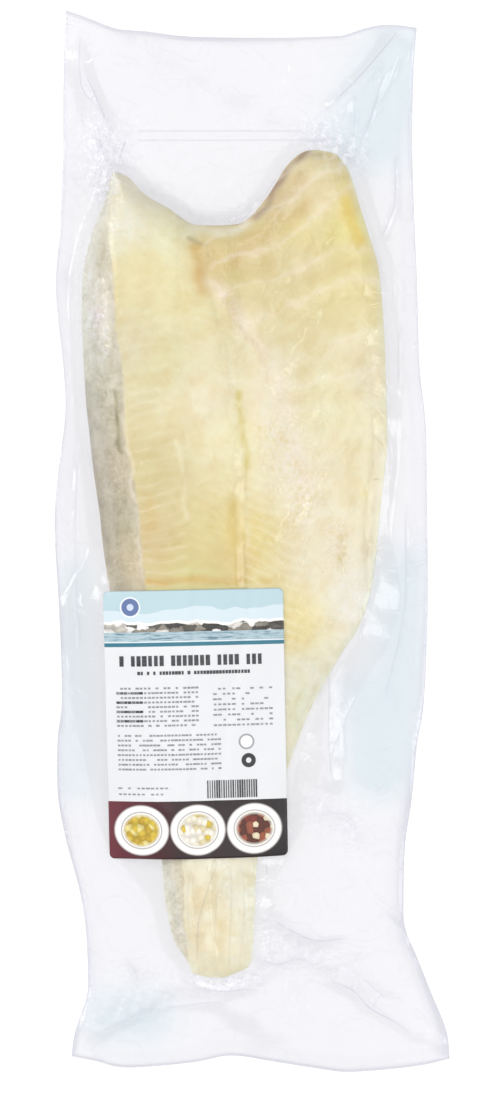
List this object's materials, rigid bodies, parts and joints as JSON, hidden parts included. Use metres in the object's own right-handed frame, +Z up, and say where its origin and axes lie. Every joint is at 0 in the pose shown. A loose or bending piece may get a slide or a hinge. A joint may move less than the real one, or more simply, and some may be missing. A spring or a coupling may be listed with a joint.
{
  "type": "vacuum packed side of lutefisk",
  "caption": "Whole side of lutefisk lying flesh side up in a clear vacuum pouch with wavy sealed margins and a paper label over the tail end.",
  "frame": {"origin": "on the surface the pack rests on, under the middle of its outline", "axes": "+Y along the side of fish from the tail to the head end, +Z up out of the flesh, +X towards the belly flap"},
  "size_m": [0.2211, 0.5939, 0.0354],
  "materials": {
    "film": "clear glossy heat-sealed film, faintly lavender where it lies in folds",
    "label_paper": "smooth coated paper with a printed face"
  },
  "bodies": {
    "root": {"vacuum_pouch": "film", "label": "label_paper"}
  },
  "joints": []
}
